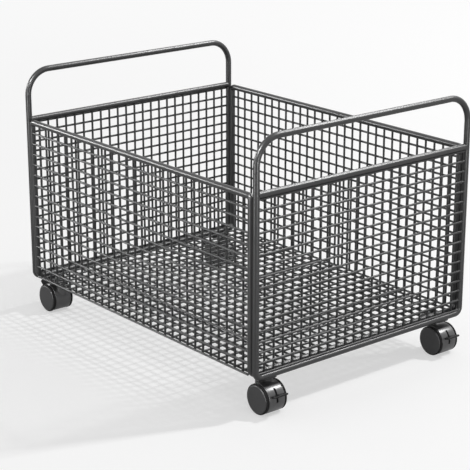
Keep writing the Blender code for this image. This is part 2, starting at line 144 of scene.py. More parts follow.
class NodeGraph:
    """A material's or world's node tree, filled by one method."""

    def __init__(self, tree: bpy.types.NodeTree) -> None:
        """Empty the tree."""
        self.tree = tree
        tree.nodes.clear()

    def node(
        self,
        kind: str,
        settings: Mapping[str, object] | None = None,
        inputs: Mapping[int | str, object] | None = None,
        output: int | str = 0,
    ) -> Socket:
        """Add a node.

        Args:
            kind: the node's type.
            settings: its properties, set before its sockets.
            inputs: a value or a linked socket for each named or numbered input.
            output: which output to return.

        Returns:
            The chosen output, or an empty socket for a node that has none.
        """
        made = self.tree.nodes.new(kind)
        for name, value in (settings or {}).items():
            setattr(made, name, value)
        for name, value in (inputs or {}).items():
            if isinstance(value, Socket):
                self.tree.links.new(value.output, made.inputs[name])
            else:
                made.inputs[name].default_value = value
        return Socket(self, made.outputs[output] if len(made.outputs) else None)

    def noise(self, scale: float, detail: float, stretch: Colour = (1.0, 1.0, 1.0)) -> Socket:
        """Noise over Object coordinates.

        Args:
            scale: its scale per metre.
            detail: its number of octaves.
            stretch: a factor on each coordinate.

        Returns:
            The noise from 0 to 1.
        """
        place = self.node("ShaderNodeTexCoord", output="Object")
        place = self.node("ShaderNodeMapping", {}, {"Vector": place, "Scale": stretch})
        values = {"Vector": place, "Scale": scale, "Detail": detail}
        return self.node("ShaderNodeTexNoise", {}, values)

    def blend(self, mask: Socket | float, low: Colour | Socket, high: Colour | Socket) -> Socket:
        """Mix two colours by a mask.

        Args:
            mask: 0 for the first colour and 1 for the second.
            low: the first colour, or a socket.
            high: the second colour, or a socket.

        Returns:
            The mixed colour.
        """
        first, second = (end if isinstance(end, Socket) else (*end, 1.0) for end in (low, high))
        # The node's colour sockets come after those for numbers and vectors.
        sockets = {0: mask, 6: first, 7: second}
        return self.node("ShaderNodeMix", {"data_type": "RGBA"}, sockets, output=2)

    def surface(self, inputs: Mapping[int | str, object]) -> None:
        """Add a Principled shader with these inputs, and the material's output."""
        shader = self.node("ShaderNodeBsdfPrincipled", {}, inputs)
        self.node("ShaderNodeOutputMaterial", {}, {"Surface": shader})


def blank_material(name: str) -> tuple[bpy.types.Material, NodeGraph]:
    """A new material and its emptied node graph."""
    material = bpy.data.materials.new(name)
    material.use_nodes = True
    return material, NodeGraph(material.node_tree)


@dataclass(frozen=True)
class Finish:
    """A procedural surface: two near colours, a roughness that wanders and a fine raised grain."""

    name: str
    slot: str
    low: Colour
    high: Colour
    roughness: float
    grain_scale: float
    patch_scale: float
    roughness_swing: float = 0.08
    metallic: float = 0.0
    specular: float = 0.5
    grain_depth: float = 0.00002
    grain_octaves: float = 2.0
    patch_octaves: float = 4.0
    patch_share: float = 0.7
    stretch: Colour = (1.0, 1.0, 1.0)

    def material(self) -> bpy.types.Material:
        """Build the material.

        Returns:
            A material whose colour drifts over patches and whose grain is a bump of fine noise.
        """
        material, graph = blank_material(f"{self.name}_finish")
        patches = graph.noise(self.patch_scale, self.patch_octaves, self.stretch)
        grain = graph.noise(self.grain_scale, self.grain_octaves, self.stretch)
        tone = self.patch_share * patches + (1.0 - self.patch_share) * grain
        raised = {"Strength": 1.0, "Distance": self.grain_depth, "Height": grain}
        graph.surface(
            {
                "Base Color": graph.blend(tone, self.low, self.high),
                "Roughness": self.roughness + self.roughness_swing * (patches - 0.5),
                "Metallic": self.metallic,
                "Specular IOR Level": self.specular,
                "Normal": graph.node("ShaderNodeBump", {}, raised),
            }
        )
        return material


COATED_STEEL = Finish(
    name="coated_steel",
    slot="coated_steel",
    low=(0.024, 0.0244, 0.0252),
    high=(0.038, 0.0384, 0.0396),
    roughness=0.34,
    specular=0.6,
    grain_scale=1400.0,
    patch_scale=24.0,
)
# Painted light: the wires carry the tubes' coat made lighter and less glossy, a lit copy of the one coat
# that both share.
WIRE_STEEL_PAINTED_LIGHT = replace(
    COATED_STEEL,
    name="wire_steel",
    low=(0.030, 0.0304, 0.0313),
    high=(0.044, 0.0445, 0.0458),
    specular=0.45,
)
CASTOR_PLASTIC = Finish(
    name="castor_plastic",
    slot="castor_plastic",
    low=(0.050, 0.050, 0.0515),
    high=(0.068, 0.068, 0.070),
    roughness=0.36,
    grain_scale=2600.0,
    patch_scale=60.0,
)
# The hood is a glossier copy of the castor plastic with a lighter base colour: the gloss is its own, the
# lighter base colour is painted reflection of the bright floor.
HOOD_PLASTIC_PAINTED_REFLECTION = replace(
    CASTOR_PLASTIC,
    name="hood_plastic",
    low=(0.058, 0.058, 0.060),
    high=(0.078, 0.078, 0.080),
    roughness=0.31,
    specular=0.9,
)
# Painted shade: the lever is the castor plastic made nearly black, standing in for the lever's shadow on the
# hood and its shaded edge.
LEVER_PLASTIC_PAINTED_SHADE = replace(
    CASTOR_PLASTIC,
    name="lever_plastic",
    low=(0.010, 0.010, 0.0105),
    high=(0.018, 0.018, 0.019),
    roughness=0.50,
    specular=0.2,
)
# The tread is black rubber, but its colour is darker than rubber: that extra darkness is painted shade for
# the gap between the cap and the hood.
TREAD_BLACK_AND_PAINTED_SHADE = Finish(
    name="tyre",
    slot="tyre",
    low=(0.003, 0.003, 0.0035),
    high=(0.007, 0.007, 0.0075),
    roughness=0.75,
    roughness_swing=0.15,
    specular=0.2,
    grain_scale=1800.0,
    grain_depth=0.00005,
    patch_scale=90.0,
)
ZINC_STEEL = Finish(
    name="zinc_steel",
    slot="zinc_steel",
    low=(0.40, 0.41, 0.42),
    high=(0.58, 0.59, 0.61),
    roughness=0.34,
    roughness_swing=0.20,
    metallic=1.0,
    grain_scale=900.0,
    patch_scale=120.0,
    stretch=(1.0, 1.0, 0.2),
)


def unit(vectors: Array) -> Array:
    """Vectors divided by their lengths."""
    return vectors / np.linalg.norm(vectors, axis=-1, keepdims=True)


def points(x: ArrayLike, y: ArrayLike, z: ArrayLike) -> Array:
    """Points from their coordinates, each an array or one number for all of them."""
    return np.stack(np.broadcast_arrays(x, y, z), axis=-1)


def filleted(corners: Array, radius: float | Sequence[float], steps: int, closed: bool) -> Array:
    """A path of straight runs with rounded corners.

    A corner P with unit directions b back and o onward turns by the angle w. Its arc has the centre
    P + r / cos(w / 2) along b + o, starts at P + b r tan(w / 2) and is centre + spoke cos f - b r sin f,
    with f from 0 to w.

    Args:
        corners: the (N, 3) corners of the path.
        radius: one bend radius, or one for each rounded corner.
        steps: parts of each arc.
        closed: whether the last corner runs on to the first.

    Returns:
        The (M, 3) points of the path.
    """
    bends = np.arange(len(corners)) if closed else np.arange(1, len(corners) - 1)
    here = corners[bends]
    back = unit(corners[bends - 1] - here)
    onward = unit(corners[(bends + 1) % len(corners)] - here)
    turn = np.pi - np.arccos(np.clip(np.sum(back * onward, axis=1), -1.0, 1.0))
    radii = np.broadcast_to(np.asarray(radius, dtype=float), turn.shape)
    start = here + back * (radii * np.tan(turn / 2))[:, None]
    centre = here + unit(back + onward) * (radii / np.cos(turn / 2))[:, None]
    angle = (turn[:, None] * np.linspace(0.0, 1.0, steps + 1))[..., None]
    ahead = -back * radii[:, None]
    arcs = centre[:, None] + (start - centre)[:, None] * np.cos(angle) + ahead[:, None] * np.sin(angle)
    path = arcs.reshape(-1, 3)
    return path if closed else np.concatenate([corners[:1], path, corners[-1:]])


def tube(paths: Array, normal: Array, radius: float, sides: int, closed: bool = False) -> Array:
    """Rings of points round paths that lie in planes with one normal.

    With t the mean direction at a point p and n the plane's normal, a ring is
    p + r cos(a) (n x t) + r sin(a) n.

    Args:
        paths: one (N, 3) path, or a stack of them.
        normal: the unit normal of their planes.
        radius: the tube's radius.
        sides: points in a ring.
        closed: whether each path runs round to its start.

    Returns:
        A (..., N, sides, 3) grid.
    """
    leaving = unit(np.roll(paths, -1, axis=-2) - paths)
    coming = np.roll(leaving, 1, axis=-2)
    if not closed:
        leaving[..., -1, :] = coming[..., -1, :]
        coming[..., 0, :] = leaving[..., 0, :]
    spoke = np.cross(normal, unit(leaving + coming))
    angle = np.linspace(0.0, 2 * np.pi, sides, endpoint=False)[:, None]
    ring = np.cos(angle) * spoke[..., None, :] + np.sin(angle) * normal
    return paths[..., None, :] + radius * ring


def turned(profile: Array, steps: int, centre: Array, axis: Array, start: Array) -> Array:
    """A profile turned about an axis.

    The point (r, h) at angle a is centre + r (cos(a) s + sin(a) (k x s)) + h k, with k the axis and s the
    start.

    Args:
        profile: (N, 2) radii and heights.
        steps: copies round the axis.
        centre: a point on the axis at height 0.
        axis: the unit axis.
        start: a unit vector square to the axis.

    Returns:
        A (steps, N, 3) grid that wraps round in its first direction.
    """
    angle = np.linspace(0.0, 2 * np.pi, steps, endpoint=False)[:, None, None]
    radial = np.cos(angle) * start + np.sin(angle) * np.cross(axis, start)
    return centre + profile[:, 0, None] * radial + profile[:, 1, None] * axis


def rounded_corner(corner: Sequence[float], first: float, second: float, radius: float) -> Array:
    """A quarter circle that rounds a square corner of a profile.

    The points are c + r (cos f, sin f), with c one radius inside the corner and f between two angles.

    Args:
        corner: where the square corner would be.
        first: the angle the arc starts at, in degrees.
        second: the angle it ends at.
        radius: the arc's radius.

    Returns:
        (CORNER_STEPS + 1, 2) points.
    """
    middle = math.radians((first + second) / 2)
    inset = radius * np.sign([math.cos(middle), math.sin(middle)])
    angle = np.radians(np.linspace(first, second, CORNER_STEPS + 1))
    return np.asarray(corner) - inset + radius * np.stack([np.cos(angle), np.sin(angle)], axis=1)


def slab(outline: Array, thickness: float, edge: float) -> Array:
    """A flat plate with rounded edges, from a closed outline that runs anticlockwise.

    Round the edge, the inset from the outline is e (1 - cos f) and the height is the half thickness less e,
    plus e sin f, with f from -90 to 90 degrees.

    Args:
        outline: (N, 2) points.
        thickness: the plate's thickness.
        edge: the radius of its edges.

    Returns:
        A (2 EDGE_STEPS + 2, N, 3) grid of rows from the lower face to the upper one.
    """
    ahead = unit(np.roll(outline, -1, axis=0) - outline)
    tangent = unit(ahead + np.roll(ahead, 1, axis=0))
    inward = np.stack([-tangent[:, 1], tangent[:, 0]], axis=1)
    quarter = np.linspace(0.0, np.pi / 2, EDGE_STEPS + 1)
    angle = np.concatenate([-quarter[::-1], quarter])
    level = np.repeat([edge - thickness / 2, thickness / 2 - edge], EDGE_STEPS + 1) + edge * np.sin(angle)
    rows = outline + (edge * (1 - np.cos(angle)))[:, None, None] * inward
    return points(rows[..., 0], rows[..., 1], level[:, None])


def rounded_rectangle(low: Sequence[float], high: Sequence[float], radius: float) -> Array:
    """The outline of a rectangle with rounded corners, anticlockwise.

    Args:
        low: its lowest corner.
        high: its highest corner.
        radius: the corners' radius.

    Returns:
        (N, 2) points.
    """
    x = np.array([low[0], high[0], high[0], low[0]])
    y = np.array([low[1], low[1], high[1], high[1]])
    return filleted(points(x, y, 0.0), radius, CORNER_STEPS, closed=True)[:, :2]


class Skin:
    """The surface of one piece, gathered from grids of points."""

    def __init__(self) -> None:
        """Start with no points."""
        self.points: list[Array] = []
        self.faces: list[NDArray[np.int64]] = []
        self.count = 0

    def _index(self, grids: Array) -> NDArray[np.int64]:
        """Store points and number them.

        Args:
            grids: points in any arrangement.

        Returns:
            Their numbers in the same arrangement.
        """
        self.points.append(grids.reshape(-1, 3))
        first = self.count
        self.count += grids.size // 3
        return np.arange(first, self.count).reshape(grids.shape[:-1])

    def add(
        self,
        grids: Array,
        wrap_rows: bool = False,
        wrap_columns: bool = False,
        cap_rows: bool = False,
        hole: NDArray[np.bool_] | None = None,
    ) -> None:
        """Join neighbouring points of one grid, or of a stack of grids, with four-sided faces.

        Args:
            grids: (..., rows, columns, 3) points.
            wrap_rows: whether the last row joins the first.
            wrap_columns: whether the last column joins the first.
            cap_rows: whether the first and last rows are closed by flat faces.
            hole: the faces of a single grid to leave open.
        """
        index = self._index(grids.reshape(-1, *grids.shape[-3:]))
        below = np.roll(index, -1, axis=1)
        quads = np.stack([index, below, np.roll(below, -1, axis=2), np.roll(index, -1, axis=2)], axis=-1)
        quads = quads if wrap_rows else quads[:, :-1]
        quads = quads if wrap_columns else quads[:, :, :-1]
        if hole is not None:
            quads = quads[:, ~hole]
        self.faces.append(quads.reshape(-1, 4))
        if cap_rows:
            self.faces += [index[:, 0], index[:, -1, ::-1]]

    def piece(self, name: str) -> bpy.types.Object:
        """Make the object, with doubled points merged and its faces turned outwards.

        Args:
            name: the piece's name.

        Returns:
            The object, at the origin with its place in its mesh.
        """
        mesh = bpy.data.meshes.new(name)
        faces = [face for block in self.faces for face in block.tolist()]
        mesh.from_pydata(np.concatenate(self.points), [], faces)
        shape = bmesh.new()
        shape.from_mesh(mesh)
        bmesh.ops.remove_doubles(shape, verts=shape.verts, dist=TINY)
        bmesh.ops.recalc_face_normals(shape, faces=shape.faces)
        shape.to_mesh(mesh)
        shape.free()
        mesh.shade_smooth()
        mesh.set_sharp_from_angle(angle=SHARP_EDGE)
        obj = bpy.data.objects.new(name, mesh)
        bpy.context.scene.collection.objects.link(obj)
        return obj


@dataclass
class Workshop:
    """The finishes, and the one way in which pieces are dressed and put on their bodies."""

    materials: dict[str, bpy.types.Material] = field(default_factory=dict)

    def finish(self, finish: Finish) -> bpy.types.Material:
        """The finish's material, made once."""
        if finish.name not in self.materials:
            self.materials[finish.name] = finish.material()
        return self.materials[finish.name]

    def place(self, skin: Skin, name: str, finish: Finish, body: str, *nodes: str) -> None:
        """Make a piece of a skin, dress it and let it stand for nodes of the model.

        Args:
            skin: the piece's surface.
            name: the piece's name.
            finish: its finish.
            body: the body that it moves with.
            nodes: the nodes that it replaces.
        """
        obj = skin.piece(name)
        obj.data.materials.append(self.finish(finish))
        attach(obj, body)
        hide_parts(*nodes)
        LOG.info("%s: %d faces on %s", name, len(obj.data.polygons), body)

    def dress_node(self, node: str, finish: Finish) -> None:
        """Give a node of the model that still shows its finish.

        Args:
            node: the node's name.
            finish: its finish.
        """
        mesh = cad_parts[node].data
        mesh.materials.clear()
        mesh.materials.append(self.finish(finish))
        LOG.info("%s: dressed as %s", node, finish.name)


@dataclass(frozen=True)
class Heights:
    """Heights above the floor that all the sub-assemblies share."""

    axle: float = 0.024
    neck_top: float = 0.0549
    plate_bottom: float = 0.0552
    plate_top: float = 0.0592
    rail: float = 0.0645
    tray_floor: float = 0.0675
    seam: float = 0.0815
    tray_rim: float = 0.3400
    cross_tube: float = 0.3430
    handle: float = 0.4250


@dataclass
class TubeFrame:
    """The bent end frames, their cross tubes and the rods round the tray."""

    heights: Heights
    end_x: float = 0.295
    leg_y: float = 0.2165
    tray_x: float = 0.2847
    tray_y: float = 0.2172
    tube_radius: float = 0.005
    handle_bend: float = 0.041
    lower_bend: float = 0.010
    rim_bend: float = 0.006
    coped_length: float = 0.003
    sides: int = 28
    bend_steps: int = 14

    def bar(self, path: Array, normal: Array, closed: bool = False) -> Skin:
        """A round bar along a flat path.

        Args:
            path: the (N, 3) middle line.
            normal: the unit normal of the path's plane.
            closed: whether the bar runs round to its start, and so has no ends.

        Returns:
            The bar's skin.
        """
        skin = Skin()
        rings = tube(path, normal, self.tube_radius, self.sides, closed)
        skin.add(rings, wrap_rows=closed, wrap_columns=True, cap_rows=not closed)
        return skin

    def end_frame(self, end: End) -> Skin:
        """The closed loop of two legs, a handle and a bottom rail.

        Args:
            end: which end.

        Returns:
            A tube along a rounded rectangle with wide upper and tight lower bends.
        """
        x, y = end.value * self.end_x, self.leg_y
        low, high = self.heights.rail, self.heights.handle
        corners = np.array([[x, -y, low], [x, y, low], [x, y, high], [x, -y, high]])
        bends = (self.lower_bend, self.lower_bend, self.handle_bend, self.handle_bend)
        return self.bar(filleted(corners, bends, self.bend_steps, closed=True), ALONG, closed=True)

    def cross_tube(self, end: End) -> Skin:
        """The straight tube between the legs, coped a little into them.

        Args:
            end: which end.

        Returns:
            A straight tube along Y.
        """
        x, z = end.value * self.end_x, self.heights.cross_tube
        reach = self.leg_y - self.tube_radius + self.coped_length
        return self.bar(np.array([[x, -reach, z], [x, reach, z]]), ALONG)

    def side_rod(self, side: Side) -> Skin:
        """The rim rod of one side, bent down beside the legs.

        Args:
            side: which side.

        Returns:
            A tube along an upside-down U.
        """
        x, y = self.tray_x, side.value * self.tray_y
        low, high = self.heights.seam, self.heights.tray_rim
        corners = np.array([[-x, y, low], [-x, y, high], [x, y, high], [x, y, low]])
        return self.bar(filleted(corners, self.rim_bend, self.bend_steps, closed=False), ACROSS)

    def end_rod(self, end: End) -> Skin:
        """The rod across one end of the tray floor, bent up to the side rods.

        Args:
            end: which end.

        Returns:
            A tube along a shallow U.
        """
        x, y = end.value * self.tray_x, self.tray_y
        low, high = self.heights.tray_floor, self.heights.seam
        corners = np.array([[x, -y, high], [x, -y, low], [x, y, low], [x, y, high]])
        return self.bar(filleted(corners, self.lower_bend, self.bend_steps, closed=False), ALONG)

    def build(self, shop: Workshop) -> None:
        """Make every tube and rod.

        Args:
            shop: where they are dressed.
        """
        for end in End:
            name = f"{end.word}_end_frame"
            shop.place(self.end_frame(end), f"{name}_tube", COATED_STEEL, "frame", name)
            name = f"{end.word}_cross_tube"
            shop.place(self.cross_tube(end), f"{name}_bar", COATED_STEEL, "frame", name)
            name = f"tray_{end.word}_rod"
            shop.place(self.end_rod(end), f"{name}_bar", COATED_STEEL, "frame", name)
        for side in Side:
            name = f"tray_{side.word}_rod"
            shop.place(self.side_rod(side), f"{name}_bar", COATED_STEEL, "frame", name)


@dataclass
class WireMesh:
    """The welded wires of the tray and of both ends, each wire drawn round."""

    tubes: TubeFrame
    wire_radius: float = 0.0018
    weld_sink: float = 0.0002
    cells_along: int = 30
    cells_up: int = 15
    floor_cells: int = 24
    end_cells_across: int = 24
    end_cells_up: int = 16
    rail_sink: float = 0.0006
    sunk_end: float = 0.0012
    sides: int = 12

    @property
    def offset(self) -> float:
        """How far each layer of wires lies from the middle of the mesh."""
        return self.wire_radius - self.weld_sink / 2

    @property
    def reach(self) -> float:
        """How far the tray's lengthwise wires run from the middle, to end inside the rods."""
        return self.tubes.tray_x - self.tubes.tube_radius + self.sunk_end

    def places(self, reach: float, cells: int) -> Array:
        """Wires between two rods, evenly spaced.

        Args:
            reach: the rods' distance from the middle.
            cells: the number of cells between the rods.

        Returns:
            The wires' places.
        """
        return np.linspace(-reach, reach, cells + 1)[1:-1]

    def straight(self, skin: Skin, starts: Array, ends: Array, normal: Array) -> None:
        """Add straight wires.

        Args:
            skin: the piece that they belong to.
            starts: (N, 3) first ends.
            ends: (N, 3) second ends.
            normal: a unit vector for the rings, which are square to the wires in any case.
        """
        paths = np.stack([starts, ends], axis=1)
        skin.add(tube(paths, normal, self.wire_radius, self.sides), wrap_columns=True, cap_rows=True)

    def side_panel(self, skin: Skin, side: Side) -> None:
        """Add one side of the tray: upright wires inside, and lengthwise wires outside them.

        The lowest lengthwise wire is the side's lower edge.

        Args:
            skin: the piece that they belong to.
            side: which side.
        """
        tubes, heights = self.tubes, self.tubes.heights
        x = self.places(tubes.tray_x, self.cells_along)
        inner = side.value * (tubes.tray_y - self.offset)
        low = heights.tray_floor + self.offset - self.wire_radius
        high = heights.tray_rim - tubes.tube_radius + self.sunk_end
        self.straight(skin, points(x, inner, low), points(x, inner, high), ALONG)
        z = np.linspace(heights.tray_floor, heights.tray_rim, self.cells_up + 1)[:-1]
        outer = side.value * (tubes.tray_y + self.offset)
        self.straight(skin, points(-self.reach, outer, z), points(self.reach, outer, z), UP)

    def floor_panel(self, skin: Skin) -> None:
        """Add the tray's floor: cross wires that join the sides' uprights, and lengthwise wires under them.

        The outermost lengthwise wires lie half a cell inside the sides.

        Args:
            skin: the piece that they belong to.
        """
        tubes, heights = self.tubes, self.tubes.heights
        y = ((np.arange(self.floor_cells) + 0.5) / self.floor_cells * 2 - 1) * tubes.tray_y
        under = heights.tray_floor - self.offset
        self.straight(skin, points(-self.reach, y, under), points(self.reach, y, under), UP)
        x = self.places(tubes.tray_x, self.cells_along)
        over = heights.tray_floor + self.offset
        edge = tubes.tray_y - self.offset + self.wire_radius
        self.straight(skin, points(x, -edge, over), points(x, edge, over), ALONG)

    def tray(self) -> Skin:
        """The tray mesh: two sides and a floor.

        Returns:
            One skin of all its wires.
        """
        skin = Skin()
        for side in Side:
            self.side_panel(skin, side)
        self.floor_panel(skin)
        return skin

    def end_panel(self, end: End) -> Skin:
        """An end mesh: upright wires inside and level wires outside them.

        Args:
            end: which end.

        Returns:
            One skin of all its wires.
        """
        tubes, heights = self.tubes, self.tubes.heights
        skin = Skin()
        y = self.places(tubes.leg_y, self.end_cells_across)
        inner = end.value * (tubes.end_x - self.offset)
        low = heights.rail + tubes.tube_radius - self.sunk_end
        high = heights.cross_tube - tubes.tube_radius + self.sunk_end
        self.straight(skin, points(inner, y, low), points(inner, y, high), ALONG)
        edge = tubes.tube_radius + self.wire_radius - self.rail_sink
        z = np.linspace(heights.rail + edge, heights.cross_tube - edge, self.end_cells_up + 1)
        outer = end.value * (tubes.end_x + self.offset)
        reach = tubes.leg_y - tubes.tube_radius + self.sunk_end
        self.straight(skin, points(outer, -reach, z), points(outer, reach, z), ALONG)
        return skin

    def build(self, shop: Workshop) -> None:
        """Make the tray mesh and both end meshes.

        Args:
            shop: where they are dressed.
        """
        nodes = ("tray_left_mesh", "tray_right_mesh", "tray_floor_mesh")
        # The tray mesh gets the lighter copy of the coat, which is painted light.
        shop.place(self.tray(), "tray_wires", WIRE_STEEL_PAINTED_LIGHT, "frame", *nodes)
        for end in End:
            name = f"{end.word}_end_mesh"
            # The end meshes get the same lighter copy of the coat, which is painted light.
            shop.place(self.end_panel(end), f"{end.word}_end_wires", WIRE_STEEL_PAINTED_LIGHT, "frame", name)


@dataclass
class Castor:
    """A twin-wheel castor at one corner, with its hood, wheels, brake lever and mounting plate.

    Its own frame has the swivel axis at the origin, and x points out past the trolley's end.
    """

    heights: Heights
    end: End
    side: Side
    brake: Brake
    swivel_x: float = 0.267
    swivel_y: float = 0.184
    trail: float = 0.016
    wheel_radius: float = 0.024
    wheel_points: int = 72
    hood_radius: float = 0.0242
    hood_half: float = 0.0152
    hood_wall: float = 0.0029
    web_half: float = 0.004
    hood_edge: float = 0.0010
    hood_cut: float = 0.005
    crown_points: int = 42
    belly_points: int = 14
    neck_radius: float = 0.0075
    neck_root: float = 0.0010
    neck_edge: float = 0.0012
    neck_points: int = 48
    foot_rings: int = 6
    slot_half: float = 0.0017
    slot_depth: float = 0.009
    slot_low: float = math.radians(-6.0)
    slot_high: float = math.radians(50.0)
    slot_points: int = 15
    tread_inner: float = 0.0156
    tread_outer: float = 0.0189
    tread_edge: float = 0.0005
    drum_radius: float = 0.0205
    drum_inner: float = 0.0044
    axle_bore: float = 0.0033
    cap_radius: float = 0.0220
    cap_inner: float = 0.0192
    cap_outer: float = 0.0208
    cap_edge: float = 0.0015
    cap_dish: float = 0.00012
    cap_rings: int = 12
    blade_start: float = 0.0250
    blade_reach: float = 0.0123
    blade_half: float = 0.0130
    blade_thickness: float = 0.0030
    blade_corner: float = 0.0035
    blade_edge: float = 0.0011
    lever_thickness: float = 0.0026
    lever_height: float = 0.0045
    lever_corner: float = 0.0008
    lever_edge: float = 0.0004
    eye_radius: float = 0.0060
    eye_points: int = 32
    plate_low: tuple[float, float] = (-0.016, -0.013)
    plate_high: tuple[float, float] = (0.026, 0.013)
    plate_corner: float = 0.005
    plate_edge: float = 0.0007
    nut_flats: float = 0.016
    nut_height: float = 0.005
    nut_edge: float = 0.0006
    nut_sides: int = 6
    nut_corner_steps: int = 3
    seat_gap: float = 0.0003

    @property
    def hub(self) -> Array:
        """The middle of the axle in the castor's own frame."""
        return np.array([self.trail, 0.0, self.heights.axle])

    def placed(self, grid: Array) -> Array:
        """Points moved from the castor's own frame to the trolley's.

        Args:
            grid: (..., 3) points.

        Returns:
            The points turned half round at the rear and moved to the corner.
        """
        turn = np.array([self.end.value, self.end.value, 1.0])
        return grid * turn + np.array([self.end.value * self.swivel_x, self.side.value * self.swivel_y, 0.0])

    def round_axle(self, radius: Array, width: Array, angle: Array) -> Array:
        """Points round the axle: hub + (r cos a, w, r sin a).

        Args:
            radius: distances from the axle.
            width: places along the axle.
            angle: one angle above level for each row.

        Returns:
            A grid with a row for each angle, in the trolley's frame.
        """
        turn = angle[:, None]
        return self.placed(self.hub + points(radius * np.cos(turn), width, radius * np.sin(turn)))

    def barrel_profile(self) -> Array:
        """The barrel's section on both sides of the lever's slot.

        Returns:
            (N, 2) radii and widths: web, wall, rounded face and crown up to the slot, and the same mirrored.
        """
        inner = self.hood_radius - self.hood_wall
        wall = [[0.0, self.web_half], [inner, self.web_half], [inner, self.hood_half]]
        face = rounded_corner((self.hood_radius, self.hood_half), 90.0, 0.0, self.hood_edge)
        half = np.concatenate([wall, face, [[self.hood_radius, self.slot_half]]])
        return np.concatenate([half, half[::-1] * [1.0, -1.0]])

    def barrel(self, skin: Skin) -> None:
        """Add the hood's barrel, open below, with a web between the wheels and a slot for the lever.

        At the angle a from level, the outline's radius is the barrel's, or that of the flat cut below.
        Above the cut the walls reach out to the barrel's faces, and below it only the web is left.

        Args:
            skin: the hood's skin.
        """
        drop = self.heights.axle - self.hood_cut
        cut = math.pi + math.asin(drop / self.hood_radius)
        front = np.linspace(math.pi - cut, self.slot_low, self.belly_points)[:-1]
        slot = np.linspace(self.slot_low, self.slot_high, self.slot_points)
        crown = np.linspace(self.slot_high, cut, self.crown_points)[1:]
        belly = np.linspace(cut, 3 * math.pi - cut, self.belly_points)
        angle = np.concatenate([front, slot, crown, belly])
        below = (np.arange(len(angle)) >= len(angle) - len(belly))[:, None]

        profile = self.barrel_profile()
        flat = np.minimum(self.hood_radius, drop / np.maximum(-np.sin(angle), TINY))[:, None]
        radius = np.where(below, np.where(profile[:, 0] > 0.0, flat, 0.0), profile[:, 0])
        width = np.where(below, np.clip(profile[:, 1], -self.web_half, self.web_half), profile[:, 1])
        hole = np.zeros((len(angle), len(profile) - 1), bool)
        hole[len(front) : len(front) + len(slot) - 1, len(profile) // 2 - 1] = True
        skin.add(self.round_axle(radius, width, angle), wrap_rows=True, hole=hole)

        floor = self.hood_radius - self.slot_depth
        depth = np.array([self.hood_radius, floor, floor, self.hood_radius])
        walls = np.array([1.0, 1.0, -1.0, -1.0]) * self.slot_half
        skin.add(self.round_axle(depth, walls, slot), cap_rows=True)

    def hood(self) -> Skin:
        """The moulded hood: a barrel and a neck with a rounded top edge.

        The neck is turned about the swivel axis. Its foot lies inside the barrel's wall: at the distance x
        from the axle its height above it is the root of (R - e) squared less x squared.

        Returns:
            One skin of both.
        """
        skin = Skin()
        self.barrel(skin)
        top, rings = self.heights.neck_top, self.foot_rings
        rim = rounded_corner((self.neck_radius, top), 90.0, 0.0, self.neck_edge)
        foot = np.stack([np.linspace(self.neck_radius, 0.0, rings), np.zeros(rings)], axis=1)
        profile = np.concatenate([[[0.0, top]], rim, foot])
        grid = turned(profile, self.neck_points, np.zeros(3), UP, ALONG)
        root = self.hood_radius - self.neck_root
        rise = np.sqrt(np.maximum(root**2 - (grid[:, -rings:, 0] - self.trail) ** 2, 0.0))
        grid[:, -rings:, 2] = self.heights.axle + rise
        skin.add(self.placed(grid), wrap_rows=True)
        return skin

    def on_axle(self, profile: Array, outward: float) -> Skin:
        """A piece turned about the axle.

        Args:
            profile: (N, 2) radii and distances from the castor's middle.
            outward: 1 for the wheel at the castor's own +y, and -1 for the other.

        Returns:
            The piece's skin.
        """
        skin = Skin()
        grid = turned(profile, self.wheel_points, self.hub, outward * ACROSS, ALONG)
        skin.add(self.placed(grid), wrap_rows=True)
        return skin

    def wheel(self, outward: float) -> Skin:
        """A wheel: a tread ring with rounded shoulders and a hub drum.

        Args:
            outward: 1 for the wheel at the castor's own +y, and -1 for the other.

        Returns:
            The wheel turned about the axle.
        """
        radius, edge = self.wheel_radius, self.tread_edge
        bore_end = self.tread_inner + self.seat_gap
        profile = np.concatenate(
            [
                [[0.0, self.tread_outer]],
                rounded_corner((radius, self.tread_outer), 90.0, 0.0, edge),
                rounded_corner((radius, self.tread_inner), 0.0, -90.0, edge),
                [[self.drum_radius, self.tread_inner], [self.drum_radius, self.drum_inner]],
                [[self.axle_bore, self.drum_inner], [self.axle_bore, bore_end], [0.0, bore_end]],
            ]
        )
        return self.on_axle(profile, outward)

    def cap(self, outward: float) -> Skin:
        """A wheel's cover disc, dished very slightly inside a rounded rim.

        At the radius r the face lies d (1 - (r / R) squared) below the rim, with R the dish's radius.

        Args:
            outward: 1 for the wheel at the castor's own +y, and -1 for the other.

        Returns:
            The cap turned about the axle.
        """
        rim = self.cap_radius - self.cap_edge
        radii = np.linspace(0.0, rim, self.cap_rings, endpoint=False)
        dish = self.cap_outer - self.cap_dish * (1.0 - (radii / rim) ** 2)
        profile = np.concatenate(
            [
                np.stack([radii, dish], axis=1),
                rounded_corner((self.cap_radius, self.cap_outer), 90.0, 0.0, self.cap_edge),
                [[self.cap_radius, self.cap_inner], [0.0, self.cap_inner]],
            ]
        )
        return self.on_axle(profile, outward)

